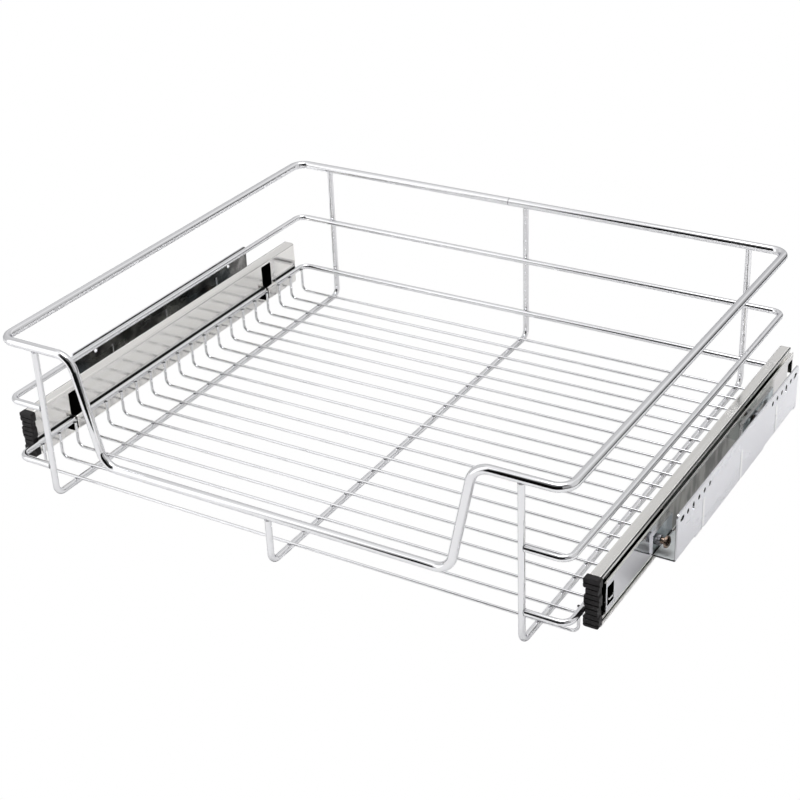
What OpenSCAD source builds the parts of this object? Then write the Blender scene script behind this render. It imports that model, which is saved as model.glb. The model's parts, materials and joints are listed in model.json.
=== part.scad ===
// Pull-out wire basket on two full-extension ball slides, for a kitchen cabinet.
// Millimetres. X is across the cabinet, Y runs from the front to the back, Z is up.
// The origin is on the floor under the middle of the whole.
// Places along Y are given from the centre of the front rim wire.

/* [Basket wires] */
// Depth between the centres of the rim's front and back wires
rim_d = 424; // [380:1:460]
// Height of the rim's centre above the floor
rim_h = 137.5; // [120:0.5:180]
// Diameter of the rim wire
rim_wire_d = 7.2; // [6:0.1:8]
// Bend radius of the rim's four corners
rim_corner_r = 16; // [12:1:24]
// Distance from an outer hoop to where the rim starts to dip
dip_inset = 36; // [20:1:60]
// Distance across that the dip's legs slant
dip_slant = 21; // [5:1:40]
// Height of the rim's centre in the front dip
dip_h = 45; // [40:0.5:80]
// Bend radius of the front dip's four bends
dip_r = 16; // [10:1:18]
// Diameter of the rails and hoops
frame_wire_d = 5.2; // [4:0.1:6]
// Distance that the rim's side wires lie inside the rails'
rim_inset = 1.35; // [0:0.05:3]
// Distance that the rails' back wires lie inside the rim's
rail_back_inset = 2.9; // [1:0.1:4]
// Height of the middle rail's centre
mid_rail_h = 82.6; // [70:0.2:100]
// Height of the low rail's centre
low_rail_h = 29.3; // [26:0.1:32]
// Bend radius of the rails' corners
rail_corner_r = 12; // [8:1:18]
// Distance of the outer hoops from the side rails
hoop_inset = 35.6; // [25:0.2:50]
// Bend radius at the hoops' feet
hoop_r = 8; // [5:0.5:12]
// Diameter of the floor wires
floor_wire_d = 2.4; // [2:0.1:3]
// Number of floor wires
floor_wires = 20; // [20:1:20]
// Place of the first floor wire behind the rim's front
first_wire_y = 24.3; // [20:0.1:30]
// Distance from the last floor wire to the rails' back wires
last_wire_gap = 9.2; // [6:0.1:16]
// Bend radius at the ends of the floor wires
floor_bend_r = 6; // [4:0.5:8]
// How far the welds sink crossing wires into each other
weld_sink = 0.15; // [0.05:0.01:0.2]
// How far a butt weld sinks a wire's end into the wire that it meets
butt_sink = 0.5; // [0.2:0.05:0.6]

/* [Drawer member] */
// Length of the slide's three steel members
member_len = 384.7; // [370:0.1:400]
// Place of the drawer member's front end
drawer_front_y = 25.5; // [24:0.1:30]
// Height of the drawer member
drawer_h = 42.2; // [41:0.1:44]
// Width of the drawer member's flanges, web included
drawer_depth = 10.1; // [10:0.1:10.4]
// Sheet thickness of the drawer member
drawer_t = 1.2; // [1:0.05:1.3]
// Outside radius of the drawer member's bends
drawer_bend_r = 2.2; // [2:0.1:2.6]
// Height of the lips along the drawer member's open side
drawer_lip = 2.5; // [2:0.1:2.6]
// Height of the slides' centre line
slide_z = 36.2; // [36:0.1:38]
// Gap between the low rail and the drawer member that it lies against
rail_gap = 0.1; // [0.05:0.01:0.2]
// Width of the hooks that hold the low rail
hook_w = 14; // [10:0.5:16]
// How far the hooks reach down from the top of the low rail
hook_drop = 10.5; // [8:0.5:12]
// Gap between the low rail and the hooks
hook_gap = 0.3; // [0.2:0.05:0.4]
// Height of the window that each hook is cut out of
hook_window_h = 19.8; // [16:0.2:20]
// Number of floor wires in front of the front hooks
front_hook_wires = 3; // [3:1:5]
// Number of floor wires in front of the rear hooks
rear_hook_wires = 17; // [12:1:17]

/* [Middle and cabinet members] */
// Gap between the webs of the members and the ball cages between them
web_gap = 0.25; // [0.2:0.01:0.3]
// Sheet thickness of the middle member
middle_t = 1.2; // [1:0.05:1.2]
// Height of the middle member over its flanges
middle_h = 33.2; // [32.8:0.1:33.4]
// Height of the lips on the middle member
middle_lip = 1.4; // [1:0.1:1.5]
// Distance of the middle member's front end behind the drawer member's
middle_setback = 6; // [5.8:0.1:8]
// Sheet thickness of the cabinet member
cabinet_t = 1.0; // [0.9:0.05:1.2]
// Height of the cabinet member's web
cabinet_web_h = 27.3; // [27:0.1:27.5]
// Height of the cabinet member over its flanges
cabinet_flange_h = 25.2; // [25:0.1:25.4]
// Width of the slide over all three members
slide_w = 10.9; // [10.9:0.05:11.2]
// Distance of the cabinet member's front end behind the drawer member's
cabinet_setback = 6; // [5.8:0.1:8]
// Length of the windows near the ends of the cabinet member
window_len = 11; // [8:0.5:12]
// Height of those windows
window_h = 16; // [12:0.5:17]
// Distance from the cabinet member's end to its window
window_margin = 2; // [1.5:0.1:4]
// Height of the stop tab at the cabinet member's back end
stop_tab_h = 12; // [8:0.5:16]

/* [Ball cages] */
// Diameter of the balls between the drawer and middle members
outer_ball_d = 3.3; // [3:0.05:3.4]
// Diameter of the balls between the middle and cabinet members
inner_ball_d = 2.6; // [2.4:0.05:2.7]
// Gap between a ball and its races
race_gap = 0.25; // [0.2:0.01:0.3]
// Gap between a ball and its hole in the cage
cage_hole_gap = 0.1; // [0.05:0.01:0.12]
// Sheet thickness of the ball cages
cage_t = 0.5; // [0.4:0.05:0.5]
// Length of the ball cages
cage_len = 170; // [150:1:175]
// Balls along one edge of a cage
cage_balls = 9; // [5:1:12]
// Distance from a cage's ends to its first and last balls
cage_ball_margin = 5; // [4:0.5:10]

/* [Plastic parts] */
// Thickness of the front caps before the drawer member's end
cap_t = 5.5; // [4:0.5:7]
// Length of the plug behind each cap
cap_plug_len = 5; // [3:0.5:5.5]
// Gap between a plastic part and the steel around it
plastic_gap = 0.3; // [0.2:0.05:0.4]
// Depth of the grooves across a cap's face
cap_groove = 0.6; // [0.3:0.05:1]
// Height of each cap's top pad
cap_top_pad_h = 8.6; // [6:0.1:9]
// Height of each cap's middle pad
cap_mid_pad_h = 11; // [8:0.1:12]

/* [Brackets] */
// Width over the two bracket plates, the clear width of the cabinet
cabinet_w = 564; // [560:0.5:572]
// Length of the bracket plates
plate_len = 259.6; // [255:0.2:270]
// Height of the bracket plates
plate_h = 40; // [36:0.5:50]
// Sheet thickness of the brackets
bracket_t = 1.5; // [1.2:0.1:2]
// Width of the brackets' feet, from the slide to the cabinet's side
foot_w = 19.8; // [15:0.2:40]
// Height of the brackets' bottom above the floor
bracket_z = 24.7; // [23:0.1:27]
// Place of the brackets' front edge
bracket_y = 109.8; // [100:0.1:115]
// Outside radius of the brackets' bends
bracket_bend_r = 2.6; // [2:0.1:3]
// Radius of the plates' top corners
plate_corner_r = 3; // [1:0.5:6]
// Height of the tabs that meet the slide
tab_h = 17.3; // [16:0.1:18]
// Length of the front foot and its tab
front_foot_len = 36; // [24:0.5:60]
// Length of the rear foot and its tab
rear_foot_len = 70; // [50:0.5:90]
// Distance from the plate's back edge to the rear foot
rear_foot_inset = 6.4; // [2:0.2:20]
// Distance from the bracket's front edge to the front screw
front_screw_inset = 6.2; // [6:0.1:20]
// Distance from the rear foot's front edge to the rear screw
rear_screw_inset = 28; // [22:0.5:34]
// Length of the slot in the rear tab
rear_slot_len = 40; // [30:0.5:44]
// Diameter of the plate's screw holes
plate_hole_d = 4; // [3.5:0.1:5]
// Distance from one plate hole to the next
hole_pitch = 10.7; // [10:0.1:11]
// Holes in each of a plate's two groups
group_holes = 6; // [6:1:6]
// Distance from a plate's end to its first hole
hole_inset = 8.5; // [8:0.1:12]
// Distance from a plate's top edge to its holes
hole_drop = 6.5; // [6:0.1:10]
// Length of the plate's slots
plate_slot_len = 7.2; // [5:0.1:8]
// Width of the upright beads pressed into a plate
bead_w = 3; // [2:0.1:4]
// Depth of those beads
bead_depth = 0.5; // [0.3:0.05:0.8]

/* [Screws and nuts] */
// Diameter of the screws through the tabs
screw_d = 5; // [4:0.1:5]
// Diameter of the screw heads
head_d = 9.4; // [8:0.1:10]
// Height of the screw heads
head_h = 3.5; // [2.5:0.1:4]
// Gap between the lock nuts and the screw heads
head_gap = 3.3; // [1:0.1:4]
// How far the screws reach past the cabinet member's web
screw_reach = 4; // [2:0.1:4.2]
// Width across the flats of the lock nuts
nut_flats = 8; // [7:0.1:9]
// Height of the lock nuts
nut_h = 4; // [3:0.1:4.5]
// Gap around a screw in the tabs
screw_gap = 0.3; // [0.2:0.05:0.5]
// Gap around a screw in its threads
thread_gap = 0.05; // [0.02:0.01:0.1]

/* [Hidden] */
$fn = 48;
SIDES = ["left", "right"];
slack = 1;                                   // how far a cutting shape runs past what it cuts
run_slim = 0.05;                             // how much less radius a slanted run has than its bends
run_in = 0.4;                                // how far such a run reaches into its bends

// basket
frame_r = frame_wire_d / 2;
hoop_z = frame_r;                            // the runners lie on the floor
rail_w = cabinet_w - 2 * (foot_w + slide_w + rail_gap) - frame_wire_d;
rim_w = rail_w - 2 * rim_inset;
hoop_x = rail_w / 2 - hoop_inset;
dip_top_w = 2 * (hoop_x - dip_inset);
dip_low_w = dip_top_w - 2 * dip_slant;
rail_back_y = rim_d - rail_back_inset;
wire_pitch = (rail_back_y - last_wire_gap - first_wire_y) / (floor_wires - 1);
hoop_back_y = rail_back_y + frame_wire_d - weld_sink;
floor_z = frame_wire_d + floor_wire_d / 2 - weld_sink;
floor_end_x = rail_w / 2 - (frame_wire_d + floor_wire_d) / 2 + weld_sink;

middle_of_depth = (hoop_back_y + frame_r - rim_wire_d / 2) / 2;

// slide, in its own frame: x counts outwards from the drawer member's inner face, z from the centre
slide_x = rail_w / 2 + frame_r + rail_gap;
rail_x = -(frame_r + rail_gap);
rail_z = low_rail_h - slide_z;
drawer_back_y = drawer_front_y + member_len;
outer_cage_x = drawer_t + web_gap;
middle_x = outer_cage_x + cage_t + web_gap;
middle_end_x = drawer_depth - drawer_t - plastic_gap;
middle_inside_r = 0.6;
middle_bend_r = middle_t + middle_inside_r;
middle_lip_t = 1;
inner_cage_x = middle_x + middle_t + web_gap;
cabinet_x = inner_cage_x + cage_t + web_gap;
middle_y = drawer_front_y + middle_setback;
middle_short = 3.2;                          // how much shorter the middle member is
middle_len = member_len - middle_short;
cabinet_y = drawer_front_y + cabinet_setback;
outer_ball_z = (drawer_h / 2 - drawer_t + middle_h / 2) / 2;
inner_ball_z = (middle_h / 2 - middle_t + cabinet_flange_h / 2) / 2;
outer_ball_x = (outer_cage_x + middle_end_x) / 2;
inner_ball_x = cabinet_x + cabinet_t + inner_ball_d / 2 + race_gap;
outer_cage_end_x = middle_end_x - middle_lip_t - plastic_gap;
inner_cage_end_x = slide_w - cabinet_t - 2 * plastic_gap;
cage_shift = 2.2;                            // how far behind the members' middle the cages sit
cage_y = drawer_front_y + (member_len - cage_len) / 2 + cage_shift;
stop_tab_t = cabinet_t;
collar_h = 1.5;                              // threaded collar behind the cabinet member's web
collar_wall = 1.2;
cage_ball_pitch = (cage_len - 2 * cage_ball_margin) / (cage_balls - 1);

// hooks
hook_top_z = rail_z + frame_r + hook_gap + drawer_t;
hook_in_x = rail_x - frame_r - hook_gap - drawer_t;
hook_r = 2 * drawer_t;
function wire_y(i) = first_wire_y + (i - 1) * wire_pitch;
function hook_y(count) = (wire_y(count) + wire_y(count + 1) - hook_w) / 2;
hook_ys = [hook_y(front_hook_wires), hook_y(rear_hook_wires)];

// plastic parts
clip_proud = 0.6;                            // how far a window's insert stands out of the web
clip_foot_w = 4.7;                           // foot that holds the low rail from below
clip_foot_len = 8.5;
clip_foot_h = 5.8;
cap_top_z = drawer_h / 2 + plastic_gap;
cap_pad_gap = 1.6;
cap_bottom_z = cap_pad_gap - drawer_h / 2;
cap_rail_top_z = rail_z + frame_r + cap_pad_gap;
cap_rail_bottom_z = rail_z - frame_r - plastic_gap;
cap_neck_inset = 2;
cap_top_reach = 1.6;
cap_mid_reach = 0.9;
cap_low_reach = 1.2;
cap_top_r = 1.6;
cap_mid_r = 2.4;
cap_low_r = 1.8;
// pads from top to bottom: reach inwards, bottom, top, corner radius
cap_pads = [
    [cap_top_reach, cap_top_z - cap_top_pad_h, cap_top_z, cap_top_r],
    [cap_mid_reach, cap_rail_top_z, cap_rail_top_z + cap_mid_pad_h, cap_mid_r],
    [cap_low_reach, cap_bottom_z, cap_rail_bottom_z, cap_low_r]
];
cap_grooves = 9;
cap_groove_w = 0.8;
buffer_overlap = 2;                          // how far a window's buffer reaches behind the web
middle_buffer_w = 1;
middle_buffer_len = 7.5;
middle_buffer_setback = 1;

// bracket
plate_x = cabinet_w / 2 - bracket_t;
tab_x = slide_x + slide_w;
rear_foot_y = bracket_y + plate_len - rear_foot_inset - rear_foot_len;
feet = [[bracket_y, front_foot_len], [rear_foot_y, rear_foot_len]];
front_screw_y = bracket_y + front_screw_inset;
rear_screw_y = rear_foot_y + rear_screw_inset;
screw_ys = [front_screw_y, rear_screw_y];
rear_slot_y = rear_foot_y + (rear_foot_len - rear_slot_len) / 2;
head_x = tab_x + bracket_t + nut_h + head_gap;
head_crown_r = head_h + head_d * 0.45;       // radius of a head's crown
recess_depth = head_h * 0.6;                 // cross recess
recess_len = head_d * 0.55;
recess_w = 1.2;
hole_group_len = (group_holes - 1) * hole_pitch;
bead_inset = hole_inset + hole_group_len * 4 / 5;
bead_ys = [bracket_y + bead_inset, bracket_y + plate_len / 2, bracket_y + plate_len - bead_inset];
bead_r = (bead_w * bead_w / 4 + bead_depth * bead_depth) / (2 * bead_depth);
bead_h = plate_h - 2 * hole_drop;

// Node names
function two_digits(i) = str(floor(i / 10), i % 10);
function wire_name(i) = str("floor_wire_", two_digits(i));
function side_names(side) = [for (piece = SIDE_PIECES) str(piece, "_", side)];
SIDE_PIECES = ["drawer_member", "middle_member", "cabinet_member", "outer_cage", "inner_cage",
               "outer_balls", "inner_balls", "front_cap", "rail_clips", "window_buffer",
               "middle_buffer", "bracket"];

// ---- Bent wire ----
function unit(v) = v / norm(v);
function turn(a, b, c) = acos(unit(b - a) * unit(c - b));
function bend_cut(a, b, c, r) = r * tan(turn(a, b, c) / 2);

// Straight round rod between two points
module rod(a, b, d) {
    along = b - a;
    translate(a)
        rotate([0, acos(along[2] / norm(along)), atan2(along[1], along[0])])
            cylinder(d = d, h = norm(along));
}

// Arc of round wire that rounds the corner b on the way from a to c
module bend(a, b, c, r, d) {
    in = unit(b - a);
    axis = unit(cross(in, unit(c - b)));
    start = b - bend_cut(a, b, c, r) * in;
    out = cross(in, axis);
    centre = start - r * out;
    multmatrix([[out[0], in[0], axis[0], centre[0]],
                [out[1], in[1], axis[1], centre[1]],
                [out[2], in[2], axis[2], centre[2]],
                [0, 0, 0, 1]])
        rotate_extrude(angle = turn(a, b, c))
            translate([r, 0])
                circle(d = d);
}

// Wire through the points, rounded at each inner point
module open_wire(points, r, d) {
    last = len(points) - 1;
    cuts = [for (i = [0:last])
        (i == 0 || i == last) ? 0 : bend_cut(points[i - 1], points[i], points[i + 1], r)];
    for (i = [0:last - 1]) {
        way = unit(points[i + 1] - points[i]);
        rod(points[i] + cuts[i] * way, points[i + 1] - cuts[i + 1] * way, d);
    }
    for (i = [1:last - 1])
        bend(points[i - 1], points[i], points[i + 1], r, d);
}

// Closed wire; its runs are a hair slimmer than the bends that they reach into
module closed_wire(points, radii, d) {
    n = len(points);
    cuts = [for (i = [0:n - 1])
        bend_cut(points[(i + n - 1) % n], points[i], points[(i + 1) % n], radii[i]) - run_in];
    for (i = [0:n - 1]) {
        next = (i + 1) % n;
        way = unit(points[next] - points[i]);
        rod(points[i] + cuts[i] * way, points[next] - cuts[next] * way, d - 2 * run_slim);
        bend(points[(i + n - 1) % n], points[i], points[next], radii[i], d);
    }
}

// ---- Basket ----
module top_rim() {
    corners = [
        [-rim_w / 2, 0, rim_h], [-dip_top_w / 2, 0, rim_h],
        [-dip_low_w / 2, 0, dip_h], [dip_low_w / 2, 0, dip_h],
        [dip_top_w / 2, 0, rim_h], [rim_w / 2, 0, rim_h],
        [rim_w / 2, rim_d, rim_h], [-rim_w / 2, rim_d, rim_h]
    ];
    radii = [rim_corner_r, dip_r, dip_r, dip_r, dip_r, rim_corner_r, rim_corner_r, rim_corner_r];
    color("gainsboro")
        closed_wire(corners, radii, rim_wire_d);
}

// U-shaped rail whose ends are butt welded to the front of the outer hoops
module rail(z) {
    end_x = hoop_x + frame_r - butt_sink;
    side_x = rail_w / 2;
    color("gainsboro")
        open_wire([
            [-end_x, 0, z], [-side_x, 0, z], [-side_x, rail_back_y, z],
            [side_x, rail_back_y, z], [side_x, 0, z], [end_x, 0, z]
        ], rail_corner_r, frame_wire_d);
}

module mid_rail() rail(mid_rail_h);
module low_rail() rail(low_rail_h);

// Front post, runner and back post, bent from one wire
module hoop(x, front_rim_h) {
    to_rim = rim_wire_d / 2 - butt_sink;
    color("gainsboro")
        open_wire([
            [x, 0, front_rim_h - to_rim], [x, 0, hoop_z],
            [x, hoop_back_y, hoop_z], [x, hoop_back_y, rim_h - to_rim]
        ], hoop_r, frame_wire_d);
}

module hoop_left() hoop(-hoop_x, rim_h);
module hoop_middle() hoop(0, dip_h);
module hoop_right() hoop(hoop_x, rim_h);

// Cross wire on the runners, its ends turned up against the low rail
module floor_wire(i) {
    y = wire_y(i);
    color("gainsboro")
        open_wire([
            [-floor_end_x, y, low_rail_h], [-floor_end_x, y, floor_z],
            [floor_end_x, y, floor_z], [floor_end_x, y, low_rail_h]
        ], floor_bend_r, floor_wire_d);
}

// ---- Helpers for the slides ----
// Puts a piece drawn in the slide's own frame on the left or the right
module on_side(side) {
    mirror([side == "left" ? 1 : 0, 0, 0])
        translate([slide_x, 0, slide_z])
            children();
}

// Puts a piece drawn for the right-hand bracket on either side
module on_wall(side) {
    mirror([side == "left" ? 1 : 0, 0, 0])
        children();
}

// Extrudes an outline drawn in x and z from y0 over a length
module along_y(y0, length) {
    translate([0, y0 + length, 0])
        rotate([90, 0, 0])
            linear_extrude(length)
                children();
}

// Extrudes an outline drawn in y and z from x0 over a thickness
module along_x(x0, thickness) {
    translate([x0, 0, 0])
        rotate([90, 0, 90])
            linear_extrude(thickness)
                children();
}

// Two like rectangles, above and below the middle: from x over w, from z0 to z1
module strips(x, w, z0, z1) {
    translate([x, z0]) square([w, z1 - z0]);
    translate([x, -z1]) square([w, z1 - z0]);
}

// Rectangle from x = 0, centred on z = 0, with its two corners at x = 0 rounded
module half_round_rect(w, h, r) {
    translate([r, -h / 2]) square([w - r, h]);
    translate([0, r - h / 2]) square([r, h - 2 * r]);
    for (s = [-1, 1])
        translate([r, s * (h / 2 - r)]) circle(r);
}

// C-shaped section with its web at x = 0
module channel_section(w, h, t, r) {
    difference() {
        half_round_rect(w, h, r);
        translate([t, 0]) half_round_rect(w, h - 2 * t, r - t);
    }
}

module slot_shape(length, width) {
    square([length - width, width], center = true);
    for (s = [-1, 1])
        translate([s * (length - width) / 2, 0]) circle(d = width);
}

module races(ball_x, ball_z, ball_d) {
    for (s = [-1, 1])
        translate([ball_x, s * ball_z]) circle(ball_d / 2 + race_gap);
}

module outer_races() races(outer_ball_x, outer_ball_z, outer_ball_d);
module inner_races() races(inner_ball_x, inner_ball_z, inner_ball_d);

// ---- Slides ----
// Strip lanced out of the web and folded over the low rail
module hook_section() {
    leg_top_z = hook_top_z - hook_r;
    leg_bottom_z = rail_z + frame_r - hook_drop;
    translate([hook_in_x + hook_r, hook_top_z - drawer_t])
        square([-hook_in_x - hook_r + drawer_t, drawer_t]);
    translate([hook_in_x, leg_bottom_z])
        square([drawer_t, leg_top_z - leg_bottom_z]);
    intersection() {
        translate([hook_in_x + hook_r, leg_top_z])
            difference() {
                circle(hook_r);
                circle(hook_r - drawer_t);
            }
        translate([hook_in_x, leg_top_z]) square(hook_r);
    }
}

module drawer_section() {
    difference() {
        union() {
            channel_section(drawer_depth, drawer_h, drawer_t, drawer_bend_r);
            strips(drawer_depth - drawer_t, drawer_t, drawer_h / 2 - drawer_lip,
                   drawer_h / 2 - drawer_t / 2);
        }
        outer_races();
    }
}

module drawer_member(side) {
    color("silver")
        on_side(side) {
            difference() {
                along_y(drawer_front_y, member_len) drawer_section();
                for (y = hook_ys)
                    translate([-slack, y, hook_top_z])
                        cube([drawer_t + 2 * slack, hook_w, hook_window_h]);
            }
            for (y = hook_ys)
                along_y(y, hook_w) hook_section();
        }
}

module middle_section() {
    difference() {
        translate([middle_x, 0])
            union() {
                channel_section(middle_end_x - middle_x, middle_h, middle_t, middle_bend_r);
                strips(middle_end_x - middle_x - middle_lip_t, middle_lip_t,
                       (middle_h - middle_t) / 2, middle_h / 2 + middle_lip);
            }
        outer_races();
        inner_races();
    }
}

module middle_member(side) {
    color("silver")
        on_side(side)
            along_y(middle_y, middle_len) middle_section();
}

module cabinet_section() {
    web_x = slide_w - cabinet_t;
    lip_h = (cabinet_web_h - cabinet_flange_h) / 2 - plastic_gap;
    difference() {
        union() {
            translate([web_x, -cabinet_web_h / 2]) square([cabinet_t, cabinet_web_h]);
            strips(cabinet_x, web_x - cabinet_x + cabinet_t / 2,
                   cabinet_flange_h / 2 - cabinet_t, cabinet_flange_h / 2);
            strips(cabinet_x, cabinet_t, cabinet_flange_h / 2 - cabinet_t / 2,
                   cabinet_flange_h / 2 + lip_h);
        }
        inner_races();
    }
}

// Threaded collar drawn inwards from the web for a screw
module collar(y) {
    translate([slide_w - cabinet_t - collar_h, y, 0])
        rotate([0, 90, 0])
            cylinder(d = screw_d + 2 * collar_wall, h = collar_h + cabinet_t / 2);
}

module collar_hole(y) {
    translate([slide_w - cabinet_t - collar_h - slack, y, 0])
        rotate([0, 90, 0])
            cylinder(d = screw_d + 2 * thread_gap, h = collar_h + cabinet_t + 2 * slack);
}

module web_window(y) {
    translate([slide_w - cabinet_t - slack, y, -window_h / 2])
        cube([cabinet_t + 2 * slack, window_len, window_h]);
}

module cabinet_member(side) {
    web_x = slide_w - cabinet_t;
    tab_reach = web_x - cabinet_x;
    front_window_y = cabinet_y + window_margin;
    rear_window_y = cabinet_y + member_len - window_margin - window_len;
    color("silver")
        on_side(side) {
            difference() {
                union() {
                    along_y(cabinet_y, member_len) cabinet_section();
                    for (y = screw_ys) collar(y);
                }
                for (y = screw_ys) collar_hole(y);
                web_window(front_window_y);
                web_window(rear_window_y);
            }
            translate([cabinet_x, cabinet_y + member_len - stop_tab_t, -stop_tab_h / 2])
                cube([tab_reach, stop_tab_t, stop_tab_h]);
        }
}

// U-shaped strip that spaces the balls; x0 and x1 are its web and its free edge
module cage(x0, x1, ball_x, ball_z, ball_d) {
    difference() {
        along_y(cage_y, cage_len)
            union() {
                translate([x0, -ball_z]) square([cage_t, 2 * ball_z]);
                strips(x0, x1 - x0, ball_z - cage_t / 2, ball_z + cage_t / 2);
            }
        for (i = [0:cage_balls - 1])
            translate([ball_x, cage_y + cage_ball_margin + i * cage_ball_pitch, -ball_z - slack])
                cylinder(d = ball_d + 2 * cage_hole_gap, h = 2 * ball_z + 2 * slack);
    }
}

module balls(ball_x, ball_z, ball_d) {
    for (i = [0:cage_balls - 1], s = [-1, 1])
        translate([ball_x, cage_y + cage_ball_margin + i * cage_ball_pitch, s * ball_z])
            sphere(d = ball_d);
}

module outer_cage(side) {
    color("darkgray")
        on_side(side)
            cage(outer_cage_x, outer_cage_end_x, outer_ball_x, outer_ball_z, outer_ball_d);
}

module inner_cage(side) {
    color("darkgray")
        on_side(side)
            cage(inner_cage_x, inner_cage_end_x, inner_ball_x, inner_ball_z, inner_ball_d);
}

module outer_balls(side) {
    color("silver")
        on_side(side)
            balls(outer_ball_x, outer_ball_z, outer_ball_d);
}

module inner_balls(side) {
    color("silver")
        on_side(side)
            balls(inner_ball_x, inner_ball_z, inner_ball_d);
}

// ---- Plastic parts ----
// Outline with round corners from x0 to x1 and from z0 to z1
module pad(x0, x1, z0, z1, r) {
    translate([x0 + r, z0]) square([x1 - x0 - 2 * r, z1 - z0]);
    translate([x0, z0 + r]) square([x1 - x0, z1 - z0 - 2 * r]);
    for (x = [x0 + r, x1 - r], z = [z0 + r, z1 - r])
        translate([x, z]) circle(r);
}

// Three pads in a stack on a neck; the low rail passes between the lower two
module cap_outline() {
    translate([plastic_gap, cap_neck_inset - drawer_h / 2])
        square([drawer_depth - 2 * plastic_gap, drawer_h - 2 * cap_neck_inset]);
    for (p = cap_pads)
        pad(-p[0], slide_w, p[1], p[2], p[3]);
}

module front_cap(side) {
    plug_h = middle_h - 2 * middle_lip;
    groove_pitch = drawer_h / (cap_grooves + 1);
    color("#262223")
        on_side(side) {
            difference() {
                along_y(drawer_front_y - cap_t, cap_t) cap_outline();
                for (i = [1:cap_grooves])
                    translate([-2 * slack, drawer_front_y - cap_t - slack,
                               i * groove_pitch - (drawer_h + cap_groove_w) / 2])
                        cube([slide_w + 4 * slack, slack + cap_groove, cap_groove_w]);
            }
            translate([drawer_t + plastic_gap, drawer_front_y, -plug_h / 2])
                cube([drawer_depth - 3 * drawer_t, cap_plug_len, plug_h]);
        }
}

// Insert that fills each hook's window, and the foot that grips the low rail from below
module rail_clips(side) {
    color("#1d1c1d")
        on_side(side)
            for (y = hook_ys) {
                translate([-clip_proud, y, hook_top_z])
                    cube([drawer_t + clip_proud, hook_w, hook_window_h]);
                translate([-clip_foot_w, y - clip_foot_len / 2, rail_z - frame_r - clip_foot_h])
                    cube([clip_foot_w, clip_foot_len, clip_foot_h]);
            }
}

// Stop block inside the cabinet member's front window
module window_buffer(side) {
    block_x = cabinet_x + plastic_gap;
    block_w = slide_w - cabinet_t - block_x;
    block_h = window_h - 2 * plastic_gap;
    block_y = cabinet_y + window_margin + window_len / 3;
    window_end_y = cabinet_y + window_margin + window_len;
    color("#1d1c1d")
        on_side(side) {
            translate([block_x, block_y, -block_h / 2])
                cube([block_w, window_end_y + buffer_overlap - block_y, block_h]);
            translate([block_x, block_y, -block_h / 2])
                cube([block_w + cabinet_t / 2, window_end_y - plastic_gap - block_y, block_h]);
        }
}

// Small stop on the top edge of the middle member's front end
module middle_buffer(side) {
    color("#1d1c1d")
        on_side(side)
            translate([middle_end_x, middle_y + middle_buffer_setback, middle_h / 2 - middle_t])
                cube([middle_buffer_w, middle_buffer_len, middle_t + middle_lip]);
}

// ---- Brackets ----
// Upright plate, its top corners rounded and two groups of holes along its top
module plate_outline() {
    hole_z = plate_h - hole_drop;
    difference() {
        union() {
            square([plate_len, plate_h - plate_corner_r]);
            translate([plate_corner_r, 0]) square([plate_len - 2 * plate_corner_r, plate_h]);
            for (y = [plate_corner_r, plate_len - plate_corner_r])
                translate([y, plate_h - plate_corner_r]) circle(plate_corner_r);
        }
        for (i = [0:group_holes - 1], end = [0, 1])
            translate([end * plate_len + (1 - 2 * end) * (hole_inset + i * hole_pitch), hole_z])
                plate_hole(i);
    }
}

// The first hole of a group is a level slot and the third an upright one
module plate_hole(i) {
    if (i == 0)
        slot_shape(plate_slot_len, plate_hole_d);
    else if (i == 2)
        translate([0, (plate_hole_d - plate_slot_len) / 2])
            rotate(90) slot_shape(plate_slot_len, plate_hole_d);
    else
        circle(d = plate_hole_d);
}

// Rectangle from x = 0 and z = 0 whose two lower corners are rounded
module cradle(w, h, r) {
    translate([0, r]) square([w, h - r]);
    translate([r, 0]) square([w - 2 * r, r + slack / 2]);
    for (x = [r, w - r])
        translate([x, r]) circle(r);
}

// Section through a foot: tab, floor and the start of the plate, bent from one sheet
module foot_section() {
    difference() {
        cradle(foot_w, tab_h, bracket_bend_r);
        translate([bracket_t, bracket_t])
            cradle(foot_w - 2 * bracket_t, tab_h, bracket_bend_r - bracket_t);
    }
}

// Upright bead pressed into a plate from outside: a ridge on its inner face, a groove outside
module bead(y, face_x, r) {
    translate([face_x - bead_depth + r, y, bracket_z])
        cylinder(r = r, h = bead_h);
}

module plate() {
    difference() {
        union() {
            translate([0, bracket_y, bracket_z])
                along_x(plate_x, bracket_t) plate_outline();
            for (y = bead_ys)
                intersection() {
                    bead(y, plate_x, bead_r + bracket_t);
                    translate([plate_x - bead_depth, y - 2 * bead_w, bracket_z])
                        cube([bead_depth + bracket_t / 2, 4 * bead_w, bead_h]);
                }
        }
        for (y = bead_ys)
            translate([0, 0, -slack])
                bead(y, cabinet_w / 2, bead_r);
        for (foot = feet)
            translate([plate_x - slack, foot[0] - slack, bracket_z - slack])
                cube([bracket_t + 2 * slack, foot[1] + 2 * slack, bracket_bend_r + slack]);
    }
}

module bracket(side) {
    color("lightgray")
        on_wall(side)
            difference() {
                union() {
                    plate();
                    for (foot = feet)
                        translate([tab_x, 0, bracket_z])
                            along_y(foot[0], foot[1]) foot_section();
                }
                translate([tab_x - slack, front_screw_y, slide_z])
                    rotate([0, 90, 0])
                        cylinder(d = screw_d + 2 * screw_gap, h = bracket_t + 2 * slack);
                translate([0, rear_slot_y + rear_slot_len / 2, slide_z])
                    along_x(tab_x - slack, bracket_t + 2 * slack)
                        slot_shape(rear_slot_len, screw_d + 2 * screw_gap);
            }
}

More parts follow.
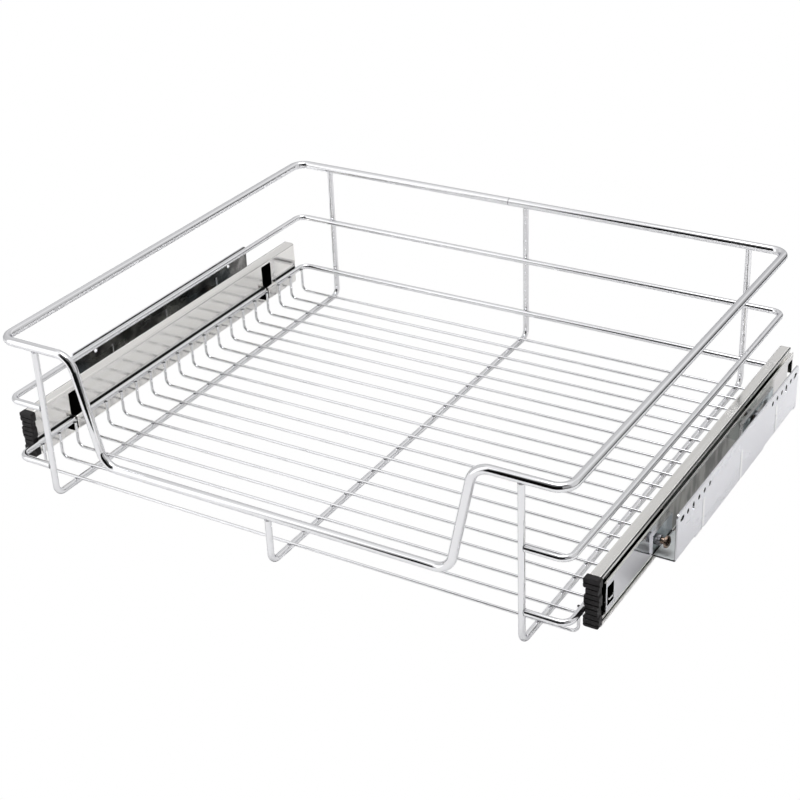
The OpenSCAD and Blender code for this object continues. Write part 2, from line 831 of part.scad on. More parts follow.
// ---- Screws and nuts ----
// Pan head screw along x, its shank from x = -length and the head's underside at x = 0
module pan_screw(length) {
    difference() {
        union() {
            rotate([0, -90, 0]) cylinder(d = screw_d, h = length);
            rotate([0, 90, 0])
                rotate_extrude()
                    intersection() {
                        square([head_d / 2, head_h]);
                        translate([0, head_h - head_crown_r]) circle(head_crown_r);
                    }
        }
        for (a = [0, 90])
            rotate([a + 45, 0, 0])
                translate([head_h - recess_depth, -recess_len / 2, -recess_w / 2])
                    cube([recess_depth + slack, recess_len, recess_w]);
    }
}

module bracket_screws() {
    shank = head_x - tab_x + cabinet_t + screw_reach;
    color("#8a6a4f")
        for (side = SIDES, y = screw_ys)
            on_wall(side)
                translate([head_x, y, slide_z])
                    pan_screw(shank);
}

module lock_nuts() {
    color("darkgray")
        for (side = SIDES, y = screw_ys)
            on_wall(side)
                translate([tab_x + bracket_t, y, slide_z])
                    rotate([0, 90, 0])
                        difference() {
                            cylinder(d = nut_flats / cos(30), h = nut_h, $fn = 6);
                            translate([0, 0, -slack])
                                cylinder(d = screw_d + 2 * thread_gap, h = nut_h + 2 * slack);
                        }
}

// ---- The object ----
// Puts a piece in the object's frame, whose origin is under the middle of the depth
module placed() {
    translate([0, -middle_of_depth, 0])
        children();
}

placed() top_rim();
placed() mid_rail();
placed() low_rail();
placed() hoop_left();
placed() hoop_middle();
placed() hoop_right();
for (i = [1:floor_wires])
    placed() floor_wire(i);
for (side = SIDES) {
    placed() drawer_member(side);
    placed() middle_member(side);
    placed() cabinet_member(side);
    placed() outer_cage(side);
    placed() inner_cage(side);
    placed() outer_balls(side);
    placed() inner_balls(side);
    placed() front_cap(side);
    placed() rail_clips(side);
    placed() window_buffer(side);
    placed() middle_buffer(side);
    placed() bracket(side);
}
placed() bracket_screws();
placed() lock_nuts();
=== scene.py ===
import json
import math

import bpy
import numpy as np
from mathutils import Matrix


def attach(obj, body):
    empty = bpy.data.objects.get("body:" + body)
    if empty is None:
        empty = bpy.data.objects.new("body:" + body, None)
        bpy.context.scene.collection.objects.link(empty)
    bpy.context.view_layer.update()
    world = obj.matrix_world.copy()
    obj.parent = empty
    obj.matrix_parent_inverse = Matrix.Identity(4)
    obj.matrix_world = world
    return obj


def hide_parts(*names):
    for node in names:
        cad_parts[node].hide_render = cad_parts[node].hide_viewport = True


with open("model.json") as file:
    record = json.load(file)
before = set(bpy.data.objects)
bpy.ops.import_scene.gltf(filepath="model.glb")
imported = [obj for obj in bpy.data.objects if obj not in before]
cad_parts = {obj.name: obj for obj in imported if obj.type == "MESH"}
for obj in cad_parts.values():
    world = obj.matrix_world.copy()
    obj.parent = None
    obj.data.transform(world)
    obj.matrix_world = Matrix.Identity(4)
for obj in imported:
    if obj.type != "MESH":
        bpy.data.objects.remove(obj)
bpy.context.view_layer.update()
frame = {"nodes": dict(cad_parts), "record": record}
nodes = frame["nodes"]
print("stage: frame loaded")

mm = 0.001
midDepth = 212.575      # mm from the front rim wire back to the frame's origin


def inFrame(points):
    # mm from the front rim wire to metres in the frame
    return (np.array(points, float) - (0, midDepth, 0)) * mm


# Angles in radians, place in mm from the front rim wire, focal length in pixels of the image, sensor
# in mm, clip in metres.
view = {"azimuth": 0.557177, "elevation": 0.503774, "roll": -0.044156, "place": (643.78, -838.822, 718.574),
        "focal": 1666.562, "imageWidth": 800, "sensor": 36, "clip": (0.05, 60)}


def addCamera():
    # forward = (-sin az cos el, cos az cos el, -sin el); right and up are turned about it by the roll.
    az, el, roll = view["azimuth"], view["elevation"], view["roll"]
    forward = np.array([-math.sin(az) * math.cos(el), math.cos(az) * math.cos(el), -math.sin(el)])
    level = np.array([math.cos(az), math.sin(az), 0.0])
    upright = np.cross(level, forward)
    right = math.cos(roll) * level + math.sin(roll) * upright
    up = math.cos(roll) * upright - math.sin(roll) * level
    turned = np.eye(4)
    turned[:3] = np.column_stack([right, up, -forward, inFrame(view["place"])])
    data = bpy.data.cameras.new("camera")
    data.sensor_fit = "HORIZONTAL"
    data.sensor_width = view["sensor"]
    data.lens = view["focal"] / view["imageWidth"] * view["sensor"]
    data.clip_start, data.clip_end = view["clip"]
    camera = bpy.data.objects.new("camera", data)
    camera.matrix_world = Matrix(turned.tolist())
    bpy.context.scene.collection.objects.link(camera)
    bpy.context.scene.camera = camera


addCamera()
print("stage: camera")


class Value:
    # One output socket; arithmetic on it adds Math nodes.
    def __init__(self, finish, socket):
        self.finish, self.socket = finish, socket

    def calc(self, operation, first, second=0.0):
        return self.finish.node("ShaderNodeMath", {"operation": operation}, {0: first, 1: second})

    def __add__(self, other):
        return self.calc("ADD", self, other)

    def __radd__(self, other):
        return self.calc("ADD", other, self)

    def __sub__(self, other):
        return self.calc("SUBTRACT", self, other)

    def __rsub__(self, other):
        return self.calc("SUBTRACT", other, self)

    def __mul__(self, other):
        return self.calc("MULTIPLY", self, other)

    def __rmul__(self, other):
        return self.calc("MULTIPLY", other, self)

    def __abs__(self):
        return self.calc("ABSOLUTE", self)

    def ease(self, low, high, start=0.0, end=1.0):
        # from start at low to end at high along an S-shaped curve
        sockets = {"Value": self, "From Min": low, "From Max": high, "To Min": start, "To Max": end}
        return self.finish.node("ShaderNodeMapRange", {"interpolation_type": "SMOOTHSTEP"}, sockets)

    def past(self, at, soft=0.0002):
        # 1 from at upwards, fading in over soft below it
        return self.ease(at - soft, at)

    def within(self, low, high, soft=0.0003):
        # 1 from low to high, fading to 0 outside
        return self.past(low, soft) * (1 - self.ease(high, high + soft))


def rgba(color):
    return color if isinstance(color, Value) else (*color, 1)


class Finish:
    # One material; node() adds any other node.
    def __init__(self, name, color=None, rough=0.5, metal=0.0, fixed=None):
        self.material = bpy.data.materials.new(name)
        self.material.use_nodes = True
        self.tree = self.material.node_tree
        if color is None:
            self.tree.nodes.clear()
            return
        self.surface = self.tree.nodes["Principled BSDF"]
        values = {"Base Color": rgba(color), "Roughness": rough, "Metallic": metal, **(fixed or {})}
        for socket, value in values.items():
            self.surface.inputs[socket].default_value = value

    def node(self, kind, settings=None, sockets=None, out=0):
        made = self.tree.nodes.new(kind)
        for key, value in (settings or {}).items():
            setattr(made, key, value)
        for key, value in (sockets or {}).items():
            if isinstance(value, Value):
                self.tree.links.new(value.socket, made.inputs[key])
            else:
                made.inputs[key].default_value = value
        return Value(self, made.outputs[out])

    def finishWith(self, shader):
        output = self.tree.nodes.new("ShaderNodeOutputMaterial")
        self.tree.links.new(shader.socket, output.inputs["Surface"])

    def place(self):
        return self.node("ShaderNodeTexCoord", out="Object")

    def axis(self, i):
        return self.node("ShaderNodeSeparateXYZ", sockets={0: self.place()}, out=i)

    def noise(self, scale, detail=2.0, stretch=(1, 1, 1)):
        mapped = self.node("ShaderNodeMapping", sockets={"Vector": self.place(), "Scale": stretch})
        return self.node("ShaderNodeTexNoise", sockets={"Vector": mapped, "Scale": scale, "Detail": detail})

    def mix(self, share, a, b):
        # a colour from a at share 0 to b at share 1; a Mix node's colours are its sockets 6, 7 and 2
        return self.node("ShaderNodeMix", {"data_type": "RGBA"}, {0: share, 6: rgba(a), 7: rgba(b)}, out=2)

    def put(self, socket, value):
        self.tree.links.new(value.socket, self.surface.inputs[socket])

    def bump(self, height, strength, distance):
        sockets = {"Height": height, "Strength": strength, "Distance": distance}
        self.put("Normal", self.node("ShaderNodeBump", sockets=sockets))


# Clouds, spots, streaks and the like are a noise's scale per metre, its detail and its stretch, and a
# relief is a bump's strength and its height in metres. A noise lies mostly between 0.3 and 0.8, and
# easing over a narrower range makes its spots harder.
chromeFinish = {"pale": (0.93, 0.93, 0.94), "tint": (0.62, 0.62, 0.64, 1), "clouds": (60, 3),
                "roughness": (0.04, 0.12), "ripples": (90,), "relief": (0.03, 0.0002)}


def chromeWire():
    c = chromeFinish
    f = Finish("chromeWire", c["pale"], metal=1.0, fixed={"Specular Tint": c["tint"]})
    f.put("Roughness", f.noise(*c["clouds"]).ease(0.3, 0.8, *c["roughness"]))
    f.bump(f.noise(*c["ripples"]), *c["relief"])
    return f.material


weldFinish = {"dark": (0.10, 0.10, 0.10), "pale": (0.72, 0.72, 0.74), "spots": (500, 3), "rough": 0.25,
              "lumps": (700,), "relief": (0.6, 0.0003)}


def weldMetal():
    w = weldFinish
    f = Finish("weldMetal", w["pale"], w["rough"], 1.0)
    f.put("Base Color", f.mix(f.noise(*w["spots"]).ease(0.35, 0.65), w["dark"], w["pale"]))
    f.bump(f.noise(*w["lumps"]), *w["relief"])
    return f.material


# Painted shade for the tops of the floor wires' ends, where they meet the low rail: near black with spots.
cutFinish = {"dark": (0.015, 0.015, 0.015), "pale": (0.08, 0.08, 0.08), "spots": (900,), "rough": 0.5,
             "metal": 0.6}


def cutWire():
    c = cutFinish
    f = Finish("cutWire", c["pale"], c["rough"], c["metal"])
    f.put("Base Color", f.mix(f.noise(*c["spots"]).ease(0.3, 0.7), c["dark"], c["pale"]))
    return f.material


# Places on the slides and brackets are metres in the frame: across from the middle plane to either
# side, along from front to back, and height. Lift is the distance above or below a slide's middle, and
# soft is how far an edge fades out.
slideFinish = {
    "pale": (0.90, 0.885, 0.85), "bright": (0.96, 0.945, 0.92), "roughness": (0.09, 0.17), "middle": 0.0362,
    "streaks": (30, 4, (6, 0.25, 6)), "waves": (14,), "relief": (0.05, 0.002),
    "shadeAndGrease": (0.12, 0.12, 0.11), "shadeAndGreasePale": (0.30, 0.30, 0.28),
    "trackAcross": (0.2529, 0.2609), "trackLift": (0.0112, 0.0181), "trackEnd": (0.172, 0.188),
    "lipAcross": 0.2597, "lipLift": 0.0158, "lipMetal": 0.0,
    "cornerAcross": 0.2607, "cornerLift": (0.0124, 0.0142),
    "webAcross": 0.2621, "web": (0.745, 0.745, 0.77),
    "rearAlong": (0.12, 0.15), "rear": (0.69, 0.675, 0.665),
    "paintedShadeAlong": (-0.088, 0.148), "paintedShadeSoft": 0.012, "paintedShadeStreaks": (110, 5, (1, 1, 0.3)),
    "paintedShade": (0.06, 0.06, 0.052), "paintedShadePale": (0.23, 0.23, 0.205),
    "openAlong": (0.046, 0.056), "open": (0.29, 0.29, 0.265),
    "rollAcross": 0.2605, "rollLift": 0.0206, "roll": (0.05, 0.05, 0.05),
    "railShadeAcross": (0.2508, 0.2516), "railShadeHeight": (0.0290, 0.0325), "railShadeSoft": 0.0012,
    "railShade": (0.03, 0.03, 0.03),
}


def slideSteel():
    s = slideFinish
    f = Finish("slideSteel", s["pale"], metal=1.0)
    across, along, height = abs(f.axis(0)), f.axis(1), f.axis(2)
    lift = abs(height - s["middle"])
    streak = f.noise(*s["streaks"])
    color = f.mix(streak.ease(0.3, 0.7), s["pale"], s["bright"])
    # The ball tracks are greased and painted dark as shade in the gaps between the members, but not the
    # middle member's outer lip or the cabinet member's outer corners, which stay pale as a painted
    # highlight.
    lip = across.past(s["lipAcross"]) * lift.past(s["lipLift"], 0.0003)
    corner = across.past(s["cornerAcross"]) * lift.within(*s["cornerLift"], 0.0002)
    track = across.within(*s["trackAcross"]) * lift.within(*s["trackLift"])
    track = track * (1 - along.ease(*s["trackEnd"])) * (1 - lip) * (1 - corner)
    color = f.mix(track, color, f.mix(streak.ease(0.35, 0.65), s["shadeAndGrease"], s["shadeAndGreasePale"]))
    # Painted shade: behind the bracket the outer web is painted dark with upright streaks, paler to the
    # rear;
    # elsewhere it turns from bluish grey to a warmer, darker grey towards the rear.
    paintedShade = f.mix(f.noise(*s["paintedShadeStreaks"]).ease(0.38, 0.62), s["paintedShade"], s["paintedShadePale"])
    paintedShade = f.mix(along.ease(*s["openAlong"]), paintedShade, s["open"])
    plain = f.mix(along.ease(*s["rearAlong"]), s["web"], s["rear"])
    web = across.past(s["webAcross"], 0.0003) * (1 - corner)
    color = f.mix(web, color, f.mix(along.within(*s["paintedShadeAlong"], s["paintedShadeSoft"]), plain, paintedShade))
    # painted shade: a dark line where the drawer member's flange rolls over into its lip
    roll = across.past(s["rollAcross"]) * lift.past(s["rollLift"])
    color = f.mix(roll, color, s["roll"])
    # painted shade: a dark line on the drawer member's web along the low rail
    railShade = across.within(*s["railShadeAcross"]) * height.within(*s["railShadeHeight"], s["railShadeSoft"])
    f.put("Base Color", f.mix(railShade, color, s["railShade"]))
    f.put("Roughness", streak.ease(0.3, 0.75, *s["roughness"]))
    # The lip and the corners are finished non-metal, so that their pale colour shows as a painted
    # highlight.
    f.put("Metallic", (lip + corner).ease(0.0, 1.0, 1.0, s["lipMetal"]))
    f.bump(f.noise(*s["waves"]), *s["relief"])
    return f.material


bracketFinish = {
    "pale": (0.84, 0.84, 0.87), "bright": (0.92, 0.92, 0.95), "roughness": (0.22, 0.32), "soft": 0.0001,
    "clouds": (22, 5, (2, 0.6, 2)), "patches": (60, 4),
    "insideAcross": (0.2803, 0.2806), "inside": (0.16, 0.16, 0.158), "insidePale": (0.42, 0.42, 0.415),
    "tabAcross": (0.26362, 0.26378), "tab": (0.16, 0.19, 0.205), "tabPale": (0.45, 0.50, 0.52),
    "floorAcross": (0.2644, 0.2806), "floorHeight": (0.0258, 0.0264), "floor": (0.95, 0.99, 0.99),
    "floorMetal": 0.0,
    "foldAcross": (0.2637, 0.2644), "foldHeight": (0.0262, 0.0275), "fold": (0.04, 0.04, 0.04),
    "edgeAlong": (-0.1029, -0.1027), "edgeHeight": (0.0252, 0.0263),
    "outsideAcross": (0.2811, 0.2813), "beadTop": (0.0510, 0.0517), "beads": (-0.0515, 0.0270, 0.1055),
    "dimFlank": (-0.003, 0.0), "dimSoft": 0.0008, "dim": (0.70, 0.70, 0.72),
    "litFlank": (0.0004, 0.0022), "litSoft": 0.0005, "lit": (1.0, 1.0, 1.0),
    "wallAcross": (0.2809, 0.2815), "wallAlong": (-0.099, 0.153), "wallHeight": (0.0553, 0.0638),
    "wall": (0.015, 0.015, 0.015),
}


def bracketSteel():
    b = bracketFinish
    f = Finish("bracketSteel", b["pale"], metal=1.0)
    across, along, height = abs(f.axis(0)), f.axis(1), f.axis(2)
    cloud = f.noise(*b["clouds"])
    patches = f.noise(*b["patches"]).ease(0.42, 0.68)
    color = f.mix(cloud.ease(0.3, 0.7), b["pale"], b["bright"])
    # Painted shade: the inner faces of the plates are painted dark grey with paler patches, for the shade
    # and dark reflections between plate and slide.
    color = f.mix(across.within(*b["insideAcross"]), color, f.mix(patches, b["inside"], b["insidePale"]))
    # Painted reflection: the tabs are painted dark blue-grey with paler patches, for the dark surroundings
    # they reflect.
    color = f.mix(across.within(*b["tabAcross"], b["soft"]), color, f.mix(patches, b["tab"], b["tabPale"]))
    # Painted light and shade: the floor of each foot is painted near white and finished non-metal so that
    # it looks lit;
    # its fold and its front edge are painted dark as shade.
    floor = height.within(*b["floorHeight"], b["soft"]) * across.within(*b["floorAcross"], b["soft"])
    fold = height.within(*b["foldHeight"], b["soft"]) * across.within(*b["foldAcross"], b["soft"])
    front = height.within(*b["edgeHeight"], b["soft"]) * along.within(*b["edgeAlong"], b["soft"])
    color = f.mix(floor, color, b["floor"])
    color = f.mix(fold, color, b["fold"])
    color = f.mix(front, color, b["fold"])
    # Of each upright bead in the plate the front flank is dim and the back flank bright.
    onBead = across.ease(*b["outsideAcross"]) * (1 - height.ease(*b["beadTop"]))
    for y in b["beads"]:
        beyond = along - y
        color = f.mix(onBead * beyond.within(*b["dimFlank"], b["dimSoft"]), color, b["dim"])
        color = f.mix(onBead * beyond.within(*b["litFlank"], b["litSoft"]), color, b["lit"])
    # the walls of the holes are in shadow
    walls = across.within(*b["wallAcross"]) * along.within(*b["wallAlong"])
    f.put("Base Color", f.mix(walls * height.within(*b["wallHeight"]), color, b["wall"]))
    f.put("Roughness", cloud.ease(0.3, 0.7, *b["roughness"]))
    f.put("Metallic", floor.ease(0.0, 1.0, 1.0, b["floorMetal"]))
    return f.material


# The patches of roughness are a little coarser than the spots of colour.
steelFinish = {"spotDetail": 3, "patchScale": 0.7}


def darkSteel(name, dark, pale, spotScale, roughness):
    s = steelFinish
    f = Finish(name, pale, metal=1.0)
    f.put("Base Color", f.mix(f.noise(spotScale, s["spotDetail"]).ease(0.32, 0.68), dark, pale))
    f.put("Roughness", f.noise(spotScale * s["patchScale"]).ease(0.3, 0.7, *roughness))
    return f.material


plasticFinish = {"spots": (120, 3), "grain": (900,), "roughness": (0.42, 0.6), "relief": (0.25, 0.0002)}


def blackPlastic(name, dark, pale, gloss):
    p = plasticFinish
    f = Finish(name, dark, fixed={"Specular IOR Level": gloss})
    grain = f.noise(*p["grain"])
    f.put("Base Color", f.mix(f.noise(*p["spots"]).ease(0.3, 0.7), dark, pale))
    f.put("Roughness", grain.ease(0.3, 0.7, *p["roughness"]))
    f.bump(grain, *p["relief"])
    return f.material


# Dark and pale colour, and then a steel's scale of spots and roughness or a plastic's gloss.
finishes = {
    "chrome_wire": chromeWire(),
    "slide_steel": slideSteel(),
    "bracket_steel": bracketSteel(),
    "cage_steel": darkSteel("cageSteel", (0.30, 0.30, 0.31), (0.55, 0.55, 0.56), 120, (0.28, 0.45)),
    "ball_steel": darkSteel("ballSteel", (0.62, 0.62, 0.63), (0.78, 0.78, 0.79), 280, (0.06, 0.14)),
    "nut_steel": darkSteel("nutSteel", (0.05, 0.05, 0.05), (0.30, 0.30, 0.32), 360, (0.22, 0.40)),
    "screw_steel": darkSteel("screwSteel", (0.16, 0.11, 0.085), (0.52, 0.41, 0.33), 420, (0.22, 0.40)),
    "black_plastic": blackPlastic("blackPlastic", (0.004, 0.003, 0.0035), (0.013, 0.010, 0.011), 0.35),
    "insert": blackPlastic("insertPlastic", (0.0006, 0.0006, 0.0006), (0.0025, 0.0022, 0.0022), 0.0),
    "cut": cutWire(),
    "weld": weldMetal(),
}

# Widths in mm of the fine bevels, by the start of a node's name. Points closer than merge mm are
# joined first, and the angle is in degrees.
bevels = {"drawer_member": 0.5, "middle_member": 0.3, "front_cap": 0.5, "rail_clips": 0.3,
          "lock_nuts": 0.25}
bevelShape = {"merge": 0.01, "segments": 2, "angle": 40}


def dressNodes():
    for part in frame["record"]["subparts"]:
        name = part["node"]
        obj = nodes[name]
        obj.data.materials.clear()
        finish = "insert" if name.startswith("rail_clips") else part["material_slot"]
        obj.data.materials.append(finishes[finish])
        for start, width in bevels.items():
            if name.startswith(start):
                weld = obj.modifiers.new("weld", "WELD")
                weld.merge_threshold = bevelShape["merge"] * mm
                bevel = obj.modifiers.new("bevel", "BEVEL")
                bevel.width, bevel.segments = width * mm, bevelShape["segments"]
                bevel.limit_method, bevel.angle_limit = "ANGLE", math.radians(bevelShape["angle"])


dressNodes()
print("stage: finishes")


def unit(v):
    return v / np.linalg.norm(v, axis=-1, keepdims=True)


def roundedPath(points, radii, closed, arcStep=0.16):
    # A polyline with arcs for corners: an arc starts radius * tan(turn / 2) before its corner and
    # runs start + radius * ((1 - cos t) * inward + sin t * heading), in steps of t up to arcStep.
    pts, n, runs = np.array(points, float), len(points), []
    for i in range(n):
        if not closed and i in (0, n - 1):
            runs.append(pts[i:i + 1])
            continue
        heading, leaving = unit(pts[i] - pts[i - 1]), unit(pts[(i + 1) % n] - pts[i])
        turn = np.arccos(np.clip(heading @ leaving, -1, 1))
        inward = unit(leaving - (heading @ leaving) * heading)
        start = pts[i] - radii[i] * np.tan(turn / 2) * heading
        t = np.linspace(0, turn, max(3, math.ceil(turn / arcStep) + 1))[:, None]
        runs.append(start + radii[i] * ((1 - np.cos(t)) * inward + np.sin(t) * heading))
    return np.concatenate(runs)


def stepped(path, closed, longest):
    # Long straight runs are split evenly.
    starts, ends = (path, np.roll(path, -1, 0)) if closed else (path[:-1], path[1:])
    counts = np.maximum(1, np.ceil(np.linalg.norm(ends - starts, axis=1) / longest)).astype(int)
    runs = [a + (b - a) * np.arange(k)[:, None] / k for a, b, k in zip(starts, ends, counts)]
    return np.concatenate(runs if closed else runs + [path[-1:]])


def gridFaces(rows, columns, closed=False):
    # Quads between neighbouring rows; the columns run right round. Open grids get a cap at each end.
    i, j = np.arange(rows if closed else rows - 1)[:, None], np.arange(columns)[None, :]
    here, nextRow, nextJ = i * columns, (i + 1) % rows * columns, (j + 1) % columns
    corners = np.broadcast_arrays(here + j, here + nextJ, nextRow + nextJ, nextRow + j)
    faces = np.stack(corners, -1).reshape(-1, 4).tolist()
    if not closed:
        first = np.arange(columns)
        faces += [first[::-1].tolist(), (first + (rows - 1) * columns).tolist()]
    return faces


def tube(path, radius, closed=False, endRound=0.0, sides=28, endRings=4):
    # Point (i, j) = path[i] + radius * (cos a * side[i] + sin a * other[i]), a = j-th angle. The side
    # vector is carried along without twist, and a loop's leftover turn is spread over its length.
    # At an open end the radius closes on a quarter circle of endRound.
    ahead, behind = np.roll(path, -1, 0) - path, path - np.roll(path, 1, 0)
    if not closed:
        ahead[-1], behind[0] = behind[-1], ahead[0]
    tangent = unit(unit(ahead) + unit(behind))
    side = np.empty_like(path)
    side[0] = unit(np.cross(tangent[0], (0.3, 0.5, 0.81)))      # square to the path, whichever way it runs
    for i in range(1, len(path)):
        side[i] = unit(side[i - 1] - (side[i - 1] @ tangent[i]) * tangent[i])
    other = np.cross(tangent, side)
    centre, reach, turn = path, np.full(len(path), radius), np.zeros(len(path))
    if closed:
        back = unit(side[-1] - (side[-1] @ tangent[0]) * tangent[0])
        turn = -math.atan2(back @ other[0], back @ side[0]) * np.arange(len(path)) / len(path)
    elif endRound:
        t = np.linspace(0, math.pi / 2, endRings)
        into, less = endRound * (1 - np.cos(t)), endRound * (1 - np.sin(t))
        last = len(path) - 1
        centre = np.concatenate([path[0] + into[:, None] * tangent[0], path[1:-1],
                                 path[-1] - into[::-1, None] * tangent[-1]])
        reach = np.concatenate([radius - less, reach[1:-1], radius - less[::-1]])
        pick = np.concatenate([np.zeros(endRings, int), np.arange(1, last), np.full(endRings, last)])
        side, other, turn = side[pick], other[pick], turn[pick]
    angle = np.linspace(0, 2 * math.pi, sides, endpoint=False)[None, :] + turn[:, None]
    rings = np.cos(angle)[..., None] * side[:, None] + np.sin(angle)[..., None] * other[:, None]
    points = centre[:, None] + reach[:, None, None] * rings
    return points.reshape(-1, 3), gridFaces(len(centre), sides, closed)


def blob(centre, radii, rows=7, columns=12, pole=0.2):
    # An ellipsoid: centre + radii * (sin p cos q, sin p sin q, cos p), flat within pole of each end.
    p = np.linspace(math.pi - pole, pole, rows)[:, None]
    q = np.linspace(0, 2 * math.pi, columns, endpoint=False)[None, :]
    ball = np.stack(np.broadcast_arrays(np.sin(p) * np.cos(q), np.sin(p) * np.sin(q), np.cos(p)), -1)
    return inFrame(np.array(centre) + np.array(radii) * ball.reshape(-1, 3)), gridFaces(rows, columns)


def block(centre, halfX, halfZ, y0, y1, corner, chamfer, sides=32):
    # A rounded rectangle in x and z carried from y1 to y0; it is smaller by chamfer at both ends.
    a = np.linspace(0, 2 * math.pi, sides, endpoint=False) + math.pi / sides
    y = np.array([y1, y1 - chamfer, y0 + chamfer, y0])
    less = np.array([chamfer, 0, 0, chamfer])[:, None]
    x = (halfX - corner - less) * np.sign(np.cos(a)) + corner * np.cos(a)
    z = (halfZ - corner - less) * np.sign(np.sin(a)) + corner * np.sin(a)
    points = np.stack(np.broadcast_arrays(centre[0] + x, y[:, None], centre[1] + z), -1)
    return inFrame(points.reshape(-1, 3)), gridFaces(len(y), sides)


def wire(points, bend, thickness, closed=False, bends=None, endRound=0.3, longest=12):
    # A round wire in mm: the polyline with its corners bent, then a tube along it.
    path = stepped(roundedPath(points, bends or [bend] * len(points), closed), closed, longest)
    return tube(inFrame(path), thickness / 2 * mm, closed, endRound * mm)


def addMesh(name, groups, sharp=50):
    # groups: shapes and the finish that they share; edges over sharp degrees stay hard
    points, faces, index = [], [], []
    for slot, (shapes, finish) in enumerate(groups):
        for shapePoints, shapeFaces in shapes:
            first = sum(map(len, points))
            points.append(shapePoints)
            faces += [[i + first for i in face] for face in shapeFaces]
            index += [slot] * len(shapeFaces)
    mesh = bpy.data.meshes.new(name)
    mesh.from_pydata(np.concatenate(points).tolist(), [], faces)
    for shapes, finish in groups:
        mesh.materials.append(finish)
    mesh.polygons.foreach_set("material_index", index)
    mesh.polygons.foreach_set("use_smooth", [True] * len(faces))
    mesh.set_sharp_from_angle(angle=math.radians(sharp))
    obj = bpy.data.objects.new(name, mesh)
    bpy.context.scene.collection.objects.link(obj)
    return obj


def addPiece(name, body, slot, replaced, *groups):
    obj = addMesh(name, groups)
    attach(obj, body)
    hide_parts(*replaced)
    return obj


# mm, from the middle plane, the front rim wire's middle and the lowest point
rim = {"width": 494.5, "depth": 424.0, "height": 137.5, "thickness": 7.2, "corner": 12.0,
       "dipTop": 354.0, "dipLow": 312.0, "dipHeight": 45.0, "dipBend": 16.0,
       "seamX": -16.0, "seamLength": 0.6, "seamProud": 0.05}
rails = {"width": 497.2, "back": 421.1, "thickness": 5.2, "corner": 9.0, "sink": 0.5,
         "middle": 82.6, "low": 29.3}
hoops = {"x": 213.0, "thickness": 5.2, "bend": 8.0, "back": 426.15, "bottom": 2.6, "sink": 0.5}
floorWires = {"count": 20, "first": 24.3, "pitch": 20.4, "thickness": 2.4, "bend": 6.0, "height": 6.25,
              "endX": 244.95, "cutLength": 1.3, "endRound": 0.4}
# Half sizes of the weld beads; how far below the low rail's middle the floor wires' beads sit, and how
# far past the end of a rail or the front of a back post the others do.
welds = {"floorEnd": (0.7, 1.6, 1.2), "floorEndBelow": 0.8, "railEnd": (0.8, 2.9, 2.9), "railEndPast": 0.4,
         "backPost": (2.2, 1.2, 2.2), "backPostPast": 0.1, "runner": (1.7, 1.7, 0.7),
         "rim": (2.9, 2.9, 0.8)}
wireYs = floorWires["first"] + floorWires["pitch"] * np.arange(floorWires["count"])


def addRim():
    # A closed loop whose front run dips between two slopes; its butt weld shows at the back.
    w, wide, narrow = rim["width"] / 2, rim["dipTop"] / 2, rim["dipLow"] / 2
    h, low, d = rim["height"], rim["dipHeight"], rim["depth"]
    front = [(-w, 0, h), (-wide, 0, h), (-narrow, 0, low), (narrow, 0, low), (wide, 0, h), (w, 0, h)]
    points = front + [(w, d, h), (-w, d, h)]
    c, b = rim["corner"], rim["dipBend"]
    loop = wire(points, 0, rim["thickness"], closed=True, bends=[c, b, b, b, b, c, c, c])
    x, thicker = rim["seamX"], 2 * rim["seamProud"]
    seam = wire([(x, d, h), (x + rim["seamLength"], d, h)], 0, rim["thickness"] + thicker, endRound=thicker)
    addPiece("topRimWire", "basket", "chrome_wire", ["top_rim"],
             ([loop], finishes["chrome_wire"]), ([seam], finishes["weld"]))


def addRail(name, node, height, floorWelds):
    # A level U round the back, whose ends meet the outer sides of the front posts.
    e, w, b = hoops["x"] + hoops["thickness"] / 2 - rails["sink"], rails["width"] / 2, rails["back"]
    points = [(x, y, height) for x, y in ((-e, 0), (-w, 0), (-w, b), (w, b), (w, 0), (e, 0))]
    beads = []
    if floorWelds:
        x, z = w - rails["thickness"] / 2, height - welds["floorEndBelow"]
        beads = [blob((side * x, y, z), welds["floorEnd"]) for side in (-1, 1) for y in wireYs]
    past = e + welds["railEndPast"]
    ends = [blob((side * past, 0, height), welds["railEnd"]) for side in (-1, 1)]
    addPiece(name, "basket", "chrome_wire", [node],
             ([wire(points, rails["corner"], rails["thickness"], endRound=0)], finishes["chrome_wire"]),
             (beads + ends, finishes["weld"]))


def addHoop(name, node, x, frontHeight):
    # Front post, runner under the floor wires and back post, bent from one wire.
    r, b, z = hoops["thickness"] / 2, hoops["back"], hoops["bottom"]
    under = rim["thickness"] / 2 - hoops["sink"]
    points = [(x, 0, frontHeight - under), (x, 0, z), (x, b, z), (x, b, rim["height"] - under)]
    post = b - r + welds["backPostPast"]
    beads = [blob((x, post, h), welds["backPost"]) for h in (rails["middle"], rails["low"])]
    beads += [blob((x, y, z + r), welds["runner"]) for y in wireYs]
    tops = ((0, frontHeight), (b, rim["height"]))
    beads += [blob((x, y, h - rim["thickness"] / 2), welds["rim"]) for y, h in tops]
    addPiece(name, "basket", "chrome_wire", [node],
             ([wire(points, hoops["bend"], hoops["thickness"], endRound=0)], finishes["chrome_wire"]),
             (beads, finishes["weld"]))


